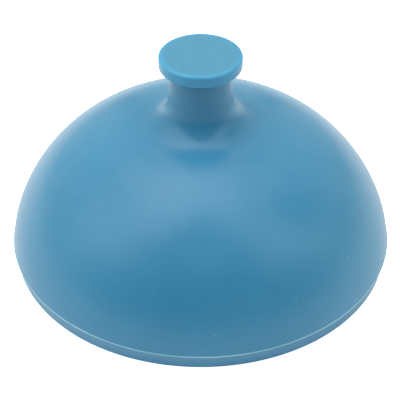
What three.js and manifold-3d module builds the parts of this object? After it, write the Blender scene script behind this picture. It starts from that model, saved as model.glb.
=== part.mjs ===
// Dome-shaped pipette filler: a silicone suction bulb with a disc-headed push
// pin in its neck, closed underneath by a rigid plate that carries the valve
// unit and the socket for the pipette.
//
// Millimetres, +Z up. The origin is on the bulb's axis, in the plane of the
// foot that the bulb stands on. Every piece but the exhaust valve is centred
// on the Z axis.

import * as THREE from "three";
import { mergeVertices } from "three/addons/utils/BufferGeometryUtils.js";
import Module from "manifold-3d";

const wasm = await Module();
wasm.setup();

// ---- Driving dimensions ----------------------------------------------------

const GAP = 0.1; // clearance between two pieces that rest on each other

// Bulb
const BULB_RADIUS = 36.0; // widest, at the mould's parting line
const BULB_CROWN = 28.8; // height the dome would reach without its neck
const DOME_RISE = 1.585; // the two powers of the dome's section: 2 and 2
const DOME_SPREAD = 2.58; // would be an ellipse
const BULB_WALL = 2.4;
const FOOT_RADIUS = 35.6; // outer edge of the foot
const FOOT_BORE = 32.0; // inner edge of the foot
const PARTING_HEIGHT = 3.0;
const PARTING_RIDGE = 0.15; // how far the flash line stands proud
const NECK_RADIUS_TOP = 5.4;
const NECK_RADIUS_BASE = 5.9;
const NECK_FLARE = 5.2; // how far the neck's fillet reaches out over the dome

// Knob
const DISC_RADIUS = 7.55;
const DISC_THICKNESS = 2.1;
const DISC_ROUNDING = 0.4; // of the disc's upper edge
const TOTAL_HEIGHT = 42.3;
const STEM_RADIUS = 1.4;
const STEM_BORE = 1.5;
const BARB_RADIUS = 3.0;
const PIN_REACH = 1.7; // how far the stem's tip stands below the inner crown

// Base plate and socket housing
const PLATE_RADIUS = 33.2;
const PLATE_BOTTOM = 3.0;
const PLATE_TOP = 5.2;
const HOUSING_RADIUS = 10.4;
const HOUSING_BORE = 8.0;
const HOUSING_TOP = 15.8;

// Adapter collar, with two bayonet lugs
const COLLAR_BOTTOM = 1.0;
const COLLAR_TOP = 9.4;
const COLLAR_RADIUS = 7.8;
const COLLAR_BORE = 5.6;
const COLLAR_LIP_BORE = 4.9;
const COLLAR_LIP_TOP = 1.9;
const FLANGE_RADIUS = 12.5;
const FLANGE_TOP = 2.8;
const FLANGE_SCALLOPS = 12;
const LUG_REACH = 1.0;
const LUG_HALF_ANGLE = 12; // degrees
const LUG_BOTTOM = 6.6;
const LUG_TOP = 8.2;
const LOCK_TURN = 50; // degrees from locked to free

// Pipette grip
const GRIP_MOUTH = 4.6;
const GRIP_THROAT = 3.6;
const GRIP_RIB = 0.25; // how far each inner rib stands into the bore
const GRIP_STOP_HEIGHT = 8.6; // where the pipette's end stops
const GRIP_STOP_BORE = 2.4;

// Valve unit
const FILTER_RADIUS = 7.2;
const FILTER_BOTTOM = 10.4;
const FILTER_TOP = 11.4;
const FILTER_LEDGE = 0.5; // thickness of the frame's ledge under the membrane
const MEMBRANE_RADIUS = 6.5;
const MEMBRANE_THICKNESS = 0.3;
const GASKET_THICKNESS = 0.6;
const SKIRT_BORE = 6.2;
const DECK_THICKNESS = 1.8;
const INLET_HOLES = 8;
const INLET_HOLE_RADIUS = 0.8;
const INLET_CIRCLE = 4.9;
const FLAP_INNER = 3.0;
const FLAP_OUTER = 7.1;
const FLAP_THICKNESS = 0.6;
const FLAP_LIFT = 0.6;

// Release poppet
const POPPET_STEM_RADIUS = 1.2;
const POPPET_HEAD_RADIUS = 3.2;
const POPPET_HEAD_THICKNESS = 1.0;
const SEAL_RADIUS = 2.2;
const SEAL_WIRE = 0.6;
const CAP_RADIUS = 2.9;
const CAP_THICKNESS = 1.2;
const SPRING_RADIUS = 2.1;
const SPRING_WIRE = 0.2;
const SPRING_TURNS = 3.5;

// Exhaust valve, off to the back of the plate
const EXHAUST_Y = 21.0;
const EXHAUST_STEM = 1.3;
const EXHAUST_HOLES = 6;
const EXHAUST_HOLE_RADIUS = 0.75;
const EXHAUST_CIRCLE = 3.0;
const EXHAUST_LIFT = 0.6;

// Roundness: flat sides to a full turn
const SIDES_LARGE = 48;
const SIDES_SMALL = 36;
const SIDES_HOLE = 12;

// ---- Materials -------------------------------------------------------------

const paint = (color, roughness, metalness = 0) =>
  new THREE.MeshStandardMaterial({ color, roughness, metalness });

const blueSilicone = paint(0x3d84ac, 0.5);
const bluePlastic = paint(0x4f9dc6, 0.45);
const whitePlastic = paint(0xe6e9ea, 0.4);
const greyPlastic = paint(0xaeb6ba, 0.4);
const clearSilicone = paint(0xd4dcdd, 0.5);
const redSilicone = paint(0xb24f3a, 0.5);
const steel = paint(0xb8bcc0, 0.25, 1);
const filterPaper = paint(0xf4f4f0, 0.9);

// ---- Shape helpers ---------------------------------------------------------

const degrees = THREE.MathUtils.degToRad;
const point = (r, z) => new THREE.Vector2(r, z);

// A solid of revolution about Z, from an outline that runs anticlockwise in
// the (radius, height) plane.
function turned(outline, sides = SIDES_SMALL) {
  return new THREE.LatheGeometry(outline, sides).rotateX(Math.PI / 2);
}

// A turned ring: its outline closes on itself.
function turnedRing(outline, sides = SIDES_SMALL) {
  return turned([...outline, outline[0]], sides);
}

function cylinder(radius, bottom, top, sides = SIDES_HOLE) {
  return new THREE.CylinderGeometry(radius, radius, top - bottom, sides)
    .rotateX(Math.PI / 2)
    .translate(0, 0, (bottom + top) / 2);
}

// A block of a ring, between two radii, two angles in degrees and two heights.
function ringBlock(inner, outer, from, to, bottom, top) {
  const shape = new THREE.Shape();
  shape.absarc(0, 0, outer, degrees(from), degrees(to), false);
  shape.absarc(0, 0, inner, degrees(to), degrees(from), true);
  return new THREE.ExtrudeGeometry(shape, {
    depth: top - bottom,
    bevelEnabled: false,
    curveSegments: 10,
  }).translate(0, 0, bottom);
}

function solidOf(geometry) {
  const bare = geometry.index ? geometry.toNonIndexed() : geometry.clone();
  bare.deleteAttribute("normal");
  bare.deleteAttribute("uv");
  const merged = mergeVertices(bare, 1e-4);
  return new wasm.Manifold(
    new wasm.Mesh({
      numProp: 3,
      vertProperties: merged.attributes.position.array,
      triVerts: new Uint32Array(merged.index.array),
    }),
  );
}

function geometryOf(solid) {
  const mesh = solid.getMesh();
  const geometry = new THREE.BufferGeometry();
  const places = new THREE.BufferAttribute(mesh.vertProperties, 3);
  geometry.setAttribute("position", places);
  geometry.setIndex(new THREE.BufferAttribute(mesh.triVerts, 1));
  geometry.computeVertexNormals();
  return geometry;
}

// Each of several tools taken out of, or joined to, a body.
const cut = (body, tools) =>
  geometryOf(tools.reduce((solid, tool) => solid.subtract(solidOf(tool)), solidOf(body)));
const join = (body, additions) =>
  geometryOf(additions.reduce((solid, extra) => solid.add(solidOf(extra)), solidOf(body)));

// Copies of a shape, evenly spaced round the Z axis.
function around(count, make) {
  return Array.from({ length: count }, (_, i) => make().rotateZ((i * 2 * Math.PI) / count));
}

// ---- Heights that follow from the driving dimensions -----------------------

const discBottom = TOTAL_HEIGHT - DISC_THICKNESS;
const innerCrown = BULB_CROWN - BULB_WALL;
const capTop = innerCrown - PIN_REACH - GAP;
const capBottom = capTop - CAP_THICKNESS;
const deckBottom = HOUSING_TOP + GASKET_THICKNESS + 2 * GAP;
const deckTop = deckBottom + DECK_THICKNESS;
const headTop = deckBottom - 2 * (SEAL_WIRE + GAP);
const headBottom = headTop - POPPET_HEAD_THICKNESS;

// ---- Bulb and knob ---------------------------------------------------------

// One quarter of the dome's section: radius and height at u, where u runs from
// 0 at the parting line to 1 at the crown.
function domePoint(radius, crown, u) {
  const rise = Math.sin((u * Math.PI) / 2);
  const spread = (1 - rise ** DOME_RISE) ** (1 / DOME_SPREAD);
  return point(radius * spread, PARTING_HEIGHT + (crown - PARTING_HEIGHT) * rise);
}

// The dome's section up to a given radius, with the exact end point last.
function domeArc(radius, crown, endRadius, steps) {
  let low = 0;
  let high = 1;
  for (let i = 0; i < 40; i++) {
    const middle = (low + high) / 2;
    if (domePoint(radius, crown, middle).x > endRadius) low = middle;
    else high = middle;
  }
  return Array.from({ length: steps + 1 }, (_, i) => domePoint(radius, crown, (low * i) / steps));
}

// The neck's fillet leaves the dome along its slope and runs into the neck.
function neckFillet(outer) {
  const [before, start] = outer.slice(-2);
  const slope = (start.y - before.y) / (start.x - before.x);
  const corner = point(NECK_RADIUS_BASE, start.y + slope * (NECK_RADIUS_BASE - start.x));
  const end = point(NECK_RADIUS_BASE, corner.y + start.distanceTo(corner));
  return new THREE.QuadraticBezierCurve(start, corner, end).getPoints(6).slice(1);
}

function domeBulb() {
  const neckTop = discBottom - GAP;
  const edge = 0.4; // rounding of the foot's and neck's corners
  const outer = domeArc(BULB_RADIUS, BULB_CROWN, NECK_RADIUS_BASE + NECK_FLARE, 10);
  const inner = domeArc(BULB_RADIUS - BULB_WALL, innerCrown, BARB_RADIUS + 0.4, 8)
    .filter((p) => p.y > PLATE_TOP + 2.4)
    .reverse();
  const grooveRadius = PLATE_RADIUS + 0.2;
  const outline = [
    point(FOOT_BORE, 0),
    point(FOOT_RADIUS - edge, 0),
    point(FOOT_RADIUS, edge),
    point(BULB_RADIUS, PARTING_HEIGHT - PARTING_RIDGE),
    point(BULB_RADIUS + PARTING_RIDGE, PARTING_HEIGHT),
    point(BULB_RADIUS, PARTING_HEIGHT + PARTING_RIDGE),
    ...outer.slice(1),
    ...neckFillet(outer),
    point(NECK_RADIUS_TOP, neckTop - edge),
    point(NECK_RADIUS_TOP - edge, neckTop),
    point(STEM_BORE, neckTop),
    point(STEM_BORE, innerCrown),
    ...inner,
    point(FOOT_BORE, PLATE_TOP + 1.2),
    point(FOOT_BORE, PLATE_TOP + 0.5),
    point(grooveRadius, PLATE_TOP + GAP),
    point(grooveRadius, PLATE_BOTTOM - GAP),
    point(FOOT_BORE, PLATE_BOTTOM - GAP),
  ];
  return turnedRing(outline, SIDES_LARGE);
}

// Disc head with a rounded upper edge, and a barbed stem that is pushed down
// through the neck until the barb springs out under the crown.
function knobPin() {
  const underEdge = 0.1;
  const tip = capTop + GAP;
  const barbTop = innerCrown - 0.4;
  const rounding = [0, 30, 60, 90].map((angle) =>
    point(
      DISC_RADIUS - DISC_ROUNDING * (1 - Math.cos(degrees(angle))),
      TOTAL_HEIGHT - DISC_ROUNDING * (1 - Math.sin(degrees(angle))),
    ),
  );
  return turned(
    [
      point(0, tip),
      point(STEM_RADIUS - 0.4, tip),
      point(STEM_RADIUS, tip + 0.4),
      point(BARB_RADIUS, barbTop - 0.3),
      point(BARB_RADIUS, barbTop),
      point(STEM_RADIUS, barbTop),
      point(STEM_RADIUS, discBottom),
      point(DISC_RADIUS - underEdge, discBottom),
      point(DISC_RADIUS, discBottom + underEdge),
      ...rounding,
      point(0, TOTAL_HEIGHT),
    ],
    SIDES_LARGE,
  );
}

// ---- Base plate and what is fixed to it ------------------------------------

// The L-shaped track in the housing that one bayonet lug enters and turns in.
function lugTrack() {
  const half = LUG_HALF_ANGLE + 2;
  const inner = HOUSING_BORE - 0.6;
  const outer = COLLAR_RADIUS + LUG_REACH + 0.2;
  const roof = LUG_TOP + 0.2;
  const run = ringBlock(inner, outer, -LOCK_TURN - half, half, LUG_BOTTOM - 0.2, roof);
  const entry = ringBlock(
    inner,
    outer,
    -LOCK_TURN - half,
    -LOCK_TURN + half,
    PLATE_BOTTOM - 1,
    roof,
  );
  return [run, entry];
}

function basePlate() {
  const body = turnedRing(
    [
      point(HOUSING_BORE, PLATE_BOTTOM),
      point(PLATE_RADIUS, PLATE_BOTTOM),
      point(PLATE_RADIUS, PLATE_TOP),
      point(HOUSING_RADIUS, PLATE_TOP),
      point(HOUSING_RADIUS, HOUSING_TOP),
      point(HOUSING_BORE, HOUSING_TOP),
    ],
    SIDES_LARGE,
  );
  const tracks = [0, Math.PI].flatMap((turn) => lugTrack().map((track) => track.rotateZ(turn)));
  const through = (radius) => cylinder(radius, PLATE_BOTTOM - 1, PLATE_TOP + 1);
  const ports = around(EXHAUST_HOLES, () =>
    through(EXHAUST_HOLE_RADIUS).translate(EXHAUST_CIRCLE, 0, 0),
  );
  const exhaust = [through(EXHAUST_STEM + 0.2), ...ports].map((tool) =>
    tool.translate(0, EXHAUST_Y, 0),
  );
  return cut(body, [...tracks, ...exhaust]);
}

function valveBody() {
  const skirtRadius = HOUSING_BORE - 0.2;
  const bossRadius = SPRING_RADIUS - SPRING_WIRE - 0.15;
  const bore = POPPET_STEM_RADIUS + 0.2;
  const body = turnedRing([
    point(bore, deckBottom),
    point(SKIRT_BORE, deckBottom),
    point(SKIRT_BORE, FILTER_TOP + GAP),
    point(skirtRadius, FILTER_TOP + GAP),
    point(skirtRadius, deckBottom),
    point(HOUSING_RADIUS, deckBottom),
    point(HOUSING_RADIUS, deckTop),
    point(bossRadius, deckTop),
    point(bossRadius, deckTop + 1),
    point(bore, deckTop + 1),
  ]);
  const inlets = around(INLET_HOLES, () =>
    cylinder(INLET_HOLE_RADIUS, deckBottom - 1, deckTop + 2).translate(INLET_CIRCLE, 0, 0),
  );
  return cut(body, inlets);
}

// Ring over the inlet flap. Its lip stops the flap's lift.
function flapCage() {
  const bottom = deckTop + GAP;
  const lipBottom = bottom + FLAP_THICKNESS + FLAP_LIFT + 0.2;
  const lipTop = lipBottom + 0.6;
  const lipBore = FLAP_OUTER - 0.9;
  const pocket = FLAP_OUTER + 0.2;
  const outer = HOUSING_RADIUS - 1;
  return turnedRing([
    point(pocket, bottom),
    point(outer, bottom),
    point(outer, lipTop - 0.3),
    point(outer - 0.3, lipTop),
    point(lipBore, lipTop),
    point(lipBore, lipBottom),
    point(pocket, lipBottom),
  ]);
}

function inletFlap() {
  const bottom = deckTop + GAP;
  return turnedRing([
    point(FLAP_INNER, bottom),
    point(FLAP_OUTER, bottom),
    point(FLAP_OUTER, bottom + FLAP_THICKNESS),
    point(FLAP_INNER, bottom + FLAP_THICKNESS),
  ]);
}

// Flat gasket between the socket housing and the valve body's flange.
function valveGasket() {
  const bottom = HOUSING_TOP + GAP;
  return turnedRing([
    point(HOUSING_BORE + 0.3, bottom),
    point(HOUSING_RADIUS - 0.2, bottom),
    point(HOUSING_RADIUS - 0.2, bottom + GASKET_THICKNESS),
    point(HOUSING_BORE + 0.3, bottom + GASKET_THICKNESS),
  ]);
}

// Ring that carries the membrane on a ledge, so that it is changed by hand.
function filterFrame() {
  const pocket = MEMBRANE_RADIUS + 0.2;
  const ledge = FILTER_BOTTOM + FILTER_LEDGE;
  return turnedRing([
    point(MEMBRANE_RADIUS - 0.6, FILTER_BOTTOM),
    point(FILTER_RADIUS, FILTER_BOTTOM),
    point(FILTER_RADIUS, FILTER_TOP),
    point(pocket, FILTER_TOP),
    point(pocket, ledge),
    point(MEMBRANE_RADIUS - 0.6, ledge),
  ]);
}

function filterMembrane() {
  const bottom = FILTER_BOTTOM + FILTER_LEDGE + GAP;
  return cylinder(MEMBRANE_RADIUS, bottom, bottom + MEMBRANE_THICKNESS, SIDES_SMALL);
}

// ---- Release valve ---------------------------------------------------------

function releasePoppet() {
  const stemTop = capTop - 0.4;
  return turned([
    point(0, headBottom),
    point(POPPET_HEAD_RADIUS - 0.3, headBottom),
    point(POPPET_HEAD_RADIUS, headBottom + 0.3),
    point(POPPET_HEAD_RADIUS, headTop),
    point(POPPET_STEM_RADIUS, headTop),
    point(POPPET_STEM_RADIUS, stemTop - 0.3),
    point(POPPET_STEM_RADIUS - 0.3, stemTop),
    point(0, stemTop),
  ]);
}

function poppetSeal() {
  const centre = headTop + GAP + SEAL_WIRE;
  const section = Array.from({ length: 8 }, (_, i) => {
    const angle = (i * 2 * Math.PI) / 8;
    return point(
      SEAL_RADIUS + SEAL_WIRE * Math.cos(angle),
      centre + SEAL_WIRE * Math.sin(angle),
    );
  });
  return turnedRing(section);
}

function poppetCap() {
  const bore = POPPET_STEM_RADIUS + GAP;
  const boreTop = capTop - 0.3;
  return turned([
    point(0, boreTop),
    point(bore, boreTop),
    point(bore, capBottom),
    point(CAP_RADIUS, capBottom),
    point(CAP_RADIUS, capTop - 0.4),
    point(CAP_RADIUS - 0.4, capTop),
    point(0, capTop),
  ]);
}

class Helix extends THREE.Curve {
  constructor(radius, bottom, top, turns) {
    super();
    Object.assign(this, { radius, bottom, top, turns });
  }
  getPoint(t) {
    const angle = t * this.turns * 2 * Math.PI;
    const height = this.bottom + (this.top - this.bottom) * t;
    return new THREE.Vector3(
      this.radius * Math.cos(angle),
      this.radius * Math.sin(angle),
      height,
    );
  }
}

function poppetSpring() {
  const bottom = deckTop + SPRING_WIRE + GAP;
  const top = capBottom - SPRING_WIRE - GAP;
  const wire = new THREE.Shape().absarc(0, 0, SPRING_WIRE, 0, 2 * Math.PI);
  return new THREE.ExtrudeGeometry(wire, {
    extrudePath: new Helix(SPRING_RADIUS, bottom, top, SPRING_TURNS),
    steps: Math.round(SPRING_TURNS * 16),
    curveSegments: 3,
    bevelEnabled: false,
  });
}

// ---- Pipette socket --------------------------------------------------------

function adapterCollar() {
  const body = turnedRing(
    [
      point(COLLAR_LIP_BORE, COLLAR_BOTTOM),
      point(FLANGE_RADIUS, COLLAR_BOTTOM),
      point(FLANGE_RADIUS, FLANGE_TOP),
      point(COLLAR_RADIUS, FLANGE_TOP),
      point(COLLAR_RADIUS, COLLAR_TOP),
      point(COLLAR_BORE, COLLAR_TOP),
      point(COLLAR_BORE, COLLAR_LIP_TOP),
      point(COLLAR_LIP_BORE, COLLAR_LIP_TOP),
    ],
    SIDES_LARGE,
  );
  const lugs = [0, Math.PI].map((turn) =>
    ringBlock(
      COLLAR_BORE + 1,
      COLLAR_RADIUS + LUG_REACH,
      -LUG_HALF_ANGLE,
      LUG_HALF_ANGLE,
      LUG_BOTTOM,
      LUG_TOP,
    ).rotateZ(turn),
  );
  const scallops = around(FLANGE_SCALLOPS, () =>
    cylinder(1.6, COLLAR_BOTTOM - 1, FLANGE_TOP + 0.1).translate(FLANGE_RADIUS + 0.9, 0, 0),
  );
  return cut(join(body, lugs), scallops);
}

// Soft sleeve with a tapered, ribbed bore. Its top flange seals the filter.
function pipetteGrip() {
  const outer = COLLAR_BORE - GAP;
  const bottom = COLLAR_LIP_TOP + GAP;
  const flangeBottom = COLLAR_TOP + GAP;
  const flangeTop = FILTER_BOTTOM - GAP;
  const bore = (z) =>
    GRIP_MOUTH + ((GRIP_THROAT - GRIP_MOUTH) * (z - bottom)) / (GRIP_STOP_HEIGHT - bottom);
  const ribs = [7.4, 5.6, 3.8].flatMap((z) => [
    point(bore(z + 0.5), z + 0.5),
    point(bore(z) - GRIP_RIB, z),
    point(bore(z - 0.5), z - 0.5),
  ]);
  return turnedRing([
    point(GRIP_MOUTH, bottom),
    point(outer, bottom),
    point(outer, flangeBottom),
    point(FILTER_RADIUS, flangeBottom),
    point(FILTER_RADIUS, flangeTop),
    point(GRIP_STOP_BORE, flangeTop),
    point(GRIP_STOP_BORE, GRIP_STOP_HEIGHT),
    point(GRIP_THROAT, GRIP_STOP_HEIGHT),
    ...ribs,
  ]);
}

// ---- Exhaust valve ---------------------------------------------------------

// Umbrella valve: a skirt under the plate, and a stem with a bead above it.
function exhaustValve() {
  const beadBottom = PLATE_TOP + EXHAUST_LIFT + 0.2;
  const skirtEdge = PLATE_BOTTOM - GAP;
  return turned([
    point(0, 1.6),
    point(2.6, 1.7),
    point(4.2, 2.1),
    point(4.9, 2.6),
    point(4.9, skirtEdge),
    point(4.5, skirtEdge),
    point(3.4, 2.5),
    point(EXHAUST_STEM, 2.35),
    point(EXHAUST_STEM, beadBottom),
    point(2.1, beadBottom),
    point(2.1, beadBottom + 0.3),
    point(1.0, beadBottom + 1.5),
    point(0, beadBottom + 1.5),
  ]);
}

// ---- Assembly --------------------------------------------------------------

const filler = new THREE.Group();

function add(name, geometry, material) {
  const mesh = new THREE.Mesh(geometry, material);
  mesh.name = name;
  filler.add(mesh);
  return mesh;
}

add("dome_bulb", domeBulb(), blueSilicone);
add("knob_pin", knobPin(), bluePlastic);
add("base_plate", basePlate(), whitePlastic);
add("valve_gasket", valveGasket(), redSilicone);
add("valve_body", valveBody(), greyPlastic);
add("flap_cage", flapCage(), whitePlastic);
add("inlet_flap", inletFlap(), redSilicone);
add("filter_frame", filterFrame(), whitePlastic);
add("filter_membrane", filterMembrane(), filterPaper);
add("release_poppet", releasePoppet(), greyPlastic);
add("poppet_seal", poppetSeal(), redSilicone);
add("poppet_cap", poppetCap(), whitePlastic);
add("poppet_spring", poppetSpring(), steel);
add("adapter_collar", adapterCollar(), greyPlastic);
add("pipette_grip", pipetteGrip(), clearSilicone);
add("exhaust_valve", exhaustValve(), redSilicone).position.y = EXHAUST_Y;

export default filler;
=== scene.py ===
# %% [markdown]
# # A dome-shaped pipette filler
#
# The object is a suction bulb for filling glass pipettes: a soft blue silicone
# dome that fits the palm, with a disc-headed knob in its neck and, hidden
# underneath, a plate that carries the valves and the socket for the pipette.
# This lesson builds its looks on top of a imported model, whose bodies, joints
# and sizes are already settled. Everything is in metres, standing on the floor.

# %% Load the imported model
import math

import bmesh
import bpy
from mathutils import Matrix, Vector


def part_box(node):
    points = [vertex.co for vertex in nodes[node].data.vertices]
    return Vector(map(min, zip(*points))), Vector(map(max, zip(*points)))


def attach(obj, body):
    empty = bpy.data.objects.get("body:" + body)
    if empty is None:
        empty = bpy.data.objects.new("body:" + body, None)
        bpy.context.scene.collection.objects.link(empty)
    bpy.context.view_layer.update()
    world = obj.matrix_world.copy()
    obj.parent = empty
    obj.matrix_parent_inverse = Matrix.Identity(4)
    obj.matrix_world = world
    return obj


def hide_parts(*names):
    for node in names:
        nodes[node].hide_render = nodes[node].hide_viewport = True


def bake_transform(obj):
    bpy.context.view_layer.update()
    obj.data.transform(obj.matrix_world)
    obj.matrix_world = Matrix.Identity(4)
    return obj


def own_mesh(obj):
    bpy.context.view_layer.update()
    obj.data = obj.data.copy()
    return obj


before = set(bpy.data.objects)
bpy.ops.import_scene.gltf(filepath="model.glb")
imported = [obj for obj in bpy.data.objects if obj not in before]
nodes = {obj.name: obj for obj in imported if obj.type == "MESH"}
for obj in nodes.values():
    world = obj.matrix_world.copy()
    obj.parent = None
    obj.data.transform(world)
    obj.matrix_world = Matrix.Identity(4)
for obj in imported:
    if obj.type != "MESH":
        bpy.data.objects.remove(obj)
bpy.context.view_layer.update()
scene = bpy.context.scene

# %% [markdown]
# ## Sizes
#
# Lathe work is easier to read in millimetres, so every outline below is a list
# of (radius, height) pairs in millimetres, and one factor turns it into metres.
# The heights of the hidden pieces aren't typed in twice: they are read from the
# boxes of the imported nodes, so that a piece can't drift from the model.

# %% Millimetres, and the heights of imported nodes
MM = 0.001


def low_z(node):
    """Height of a node's underside, in millimetres."""
    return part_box(node)[0][2] / MM


def high_z(node):
    """Height of a node's top, in millimetres."""
    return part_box(node)[1][2] / MM


def reach(node):
    """Half of a node's width along X, in millimetres."""
    low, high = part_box(node)
    return (high[0] - low[0]) / 2 / MM


TOTAL_HEIGHT = high_z("knob_pin")
DISC_RADIUS = reach("knob_pin")
print("height %.2f mm, disc head %.2f mm across" % (TOTAL_HEIGHT, 2 * DISC_RADIUS))

# %% [markdown]
# ## Camera
#
# The camera looks down on the bulb at about 38 degrees from a quarter of a metre
# away. It is aimed at a point a little above the plate, so that the dome fills
# the square frame from side to side. A camera object looks along its own -Z
# axis, and `to_track_quat` turns that axis towards the aim.

# %% Camera
CAMERA_ELEVATION = math.radians(37.9)
CAMERA_DISTANCE = 0.26606
CAMERA_AIM = Vector((-0.000106, 0.0, 0.009719))
CAMERA_LENS = 124.97

camera_data = bpy.data.cameras.new("camera")
camera_data.sensor_width = 36.0
camera_data.lens = CAMERA_LENS
camera = bpy.data.objects.new("camera", camera_data)
scene.collection.objects.link(camera)
back = Vector((0.0, -math.cos(CAMERA_ELEVATION), math.sin(CAMERA_ELEVATION)))
camera.location = CAMERA_AIM + back * CAMERA_DISTANCE
camera.rotation_euler = (-back).to_track_quat("-Z", "Y").to_euler()
scene.camera = camera
print("camera at", [round(v, 4) for v in camera.location])

# %% [markdown]
# ## Light
#
# Satin silicone shows its light as wide soft gradients, so the lamps are the
# panels of a light tent: square area lamps a metre away that all face the bulb.
# The tent is open at the front, behind the camera, and that leaves the near
# side of the dome deeper in colour than its shoulders; one weak panel above the
# camera lights the front of the neck, except where the knob's disc shades it. Azimuth 0 is the
# camera's side, and angles grow towards the right.

# %% A helper for one panel of the tent
TENT_RADIUS = 1.0
TENT_CENTRE = Vector((0.0, 0.0, 0.02))
PANEL_SIZE = 0.45


def tent_panel(azimuth, elevation, watts, tint):
    """A square lamp on the tent, facing its centre."""
    data = bpy.data.lights.new("panel_%d_%d" % (azimuth, elevation), "AREA")
    data.shape = "SQUARE"
    data.size = PANEL_SIZE
    data.energy = watts
    data.color = tint
    panel = bpy.data.objects.new(data.name, data)
    scene.collection.objects.link(panel)
    turn, tilt = math.radians(azimuth), math.radians(elevation)
    out = Vector(
        (math.sin(turn) * math.cos(tilt), -math.cos(turn) * math.cos(tilt), math.sin(tilt))
    )
    panel.location = TENT_CENTRE + out * TENT_RADIUS
    panel.rotation_euler = (-out).to_track_quat("-Z", "Y").to_euler()


# %% [markdown]
# The cloth of the walls is a little warm, and the panels nearer the camera and
# overhead are a little cool. That keeps the dome's edges a quiet grey blue and
# its middle a clear blue. The panels stand in rows: two rows of wall, a roof
# that is brighter on the left, a pair on each side at shoulder height with one
# more on the left, and one straight overhead. A cosine takes the roof from its
# bright side to its dim one.

# %% Put up the tent
WARM = (1.0, 0.95, 0.85)
COOL = (0.93, 1.01, 1.07)
LOW_WALL_WATTS = 0.5
HIGH_WALL_WATTS = 0.5
ROOF_WATTS = 1.3
ROOF_LEAN = 0.35
BRIGHT_SIDE = 300
SHOULDER_WATTS = 1.0
FILL_WATTS = 0.5
TOP_WATTS = 1.9
FRONT_WATTS = 0.3

for azimuth in range(90, 271, 30):
    tent_panel(azimuth, 15, LOW_WALL_WATTS, WARM)
for azimuth in range(120, 241, 30):
    tent_panel(azimuth, 40, HIGH_WALL_WATTS, WARM)
for azimuth in range(60, 301, 60):
    swing = math.cos(math.radians(azimuth - BRIGHT_SIDE))
    near_side = azimuth in (60, 300)
    tent_panel(azimuth, 65, ROOF_WATTS * (1 + ROOF_LEAN * swing), COOL if near_side else WARM)
for azimuth in (60, 300):
    tent_panel(azimuth, 40, SHOULDER_WATTS, COOL)
for azimuth in (75, 285):
    tent_panel(azimuth, 25, FILL_WATTS, WARM)
tent_panel(270, 40, SHOULDER_WATTS, WARM)
tent_panel(0, 90, TOP_WATTS, COOL)
tent_panel(0, 50, FRONT_WATTS, COOL)

# %% [markdown]
# The air of the tent adds a little light from every side. What the lens sees
# behind the bulb should be plain white paper, though, so a Light Path node asks
# whether a ray comes straight from the camera, and gives those rays white.

# %% World light and view
AIR_STRENGTH = 0.085

world = bpy.data.worlds.new("tent_air")
world.use_nodes = True
air = world.node_tree
ray_kind = air.nodes.new("ShaderNodeLightPath")
seen = air.nodes.new("ShaderNodeMapRange")
seen.inputs["To Min"].default_value = AIR_STRENGTH
seen.inputs["To Max"].default_value = 1.0
air.links.new(ray_kind.outputs["Is Camera Ray"], seen.inputs["Value"])
air.nodes["Background"].inputs["Color"].default_value = (1.0, 1.0, 1.0, 1.0)
air.links.new(seen.outputs["Result"], air.nodes["Background"].inputs["Strength"])
scene.world = world
scene.view_settings.view_transform = "Standard"
print("air strength", AIR_STRENGTH)

# %% [markdown]
# ## Floor
#
# A wide white disc with no shine. Real tents often stand on a lit white sheet,
# which washes out the shadow, so the disc glows: a little for the bulb, and more
# for the lens. In front of the object, where the tent is open, the sheet is
# painted greyer, as painted shade, or it would shine in every upright wall. Seen
# from below the disc is clear, so that the underside of the object can be looked
# at through it. It isn't part of the object, and it lies a hair below the foot,
# because two faces in one plane flicker.

# %% Floor
FLOOR_RADIUS = 3.0
FLOOR_DROP = 0.00002
# Where the painted shade on the paper begins and where it is deepest, as Y in metres.
PAPER_EDGE, PAPER_FRONT = -0.045, -0.075
GLOW_ON_OBJECT = 0.17
GLOW_ON_LENS = 0.9

floor_mesh = bpy.data.meshes.new("floor")
shaper = bmesh.new()
bmesh.ops.create_circle(
    shaper,
    cap_ends=True,
    radius=FLOOR_RADIUS,
    segments=64,
    matrix=Matrix.Translation((0.0, 0.0, -FLOOR_DROP)),
)
shaper.to_mesh(floor_mesh)
shaper.free()
floor = bpy.data.objects.new("floor", floor_mesh)
scene.collection.objects.link(floor)
print("floor", 2 * FLOOR_RADIUS, "m across")

# %% The floor's white paper
floor_paint = bpy.data.materials.new("white_paper")
floor_paint.use_nodes = True
paper = floor_paint.node_tree
floor_shader = paper.nodes["Principled BSDF"]
paper_place = paper.nodes.new("ShaderNodeTexCoord").outputs["Object"]
paper_axes = paper.nodes.new("ShaderNodeSeparateXYZ")
paper.links.new(paper_place, paper_axes.inputs["Vector"])
# Painted shade: the paper's base colour drops from 0.9 to 0.6 towards the open front.
paper_white_and_shade = paper.nodes.new("ShaderNodeMapRange")
paper_white_and_shade.inputs["From Min"].default_value = PAPER_FRONT
paper_white_and_shade.inputs["From Max"].default_value = PAPER_EDGE
paper_white_and_shade.inputs["To Min"].default_value = 0.6
paper_white_and_shade.inputs["To Max"].default_value = 0.9
paper.links.new(paper_axes.outputs["Y"], paper_white_and_shade.inputs["Value"])
paper.links.new(paper_white_and_shade.outputs["Result"], floor_shader.inputs["Base Color"])
floor_shader.inputs["Roughness"].default_value = 0.9
floor_shader.inputs["Specular IOR Level"].default_value = 0.0
floor_shader.inputs["Emission Color"].default_value = (1.0, 1.0, 1.0, 1.0)
ray_kind = paper.nodes.new("ShaderNodeLightPath")
glow = paper.nodes.new("ShaderNodeMapRange")
glow.inputs["To Min"].default_value = GLOW_ON_OBJECT
glow.inputs["To Max"].default_value = GLOW_ON_LENS
paper.links.new(ray_kind.outputs["Is Camera Ray"], glow.inputs["Value"])
paper.links.new(glow.outputs["Result"], floor_shader.inputs["Emission Strength"])
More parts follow.
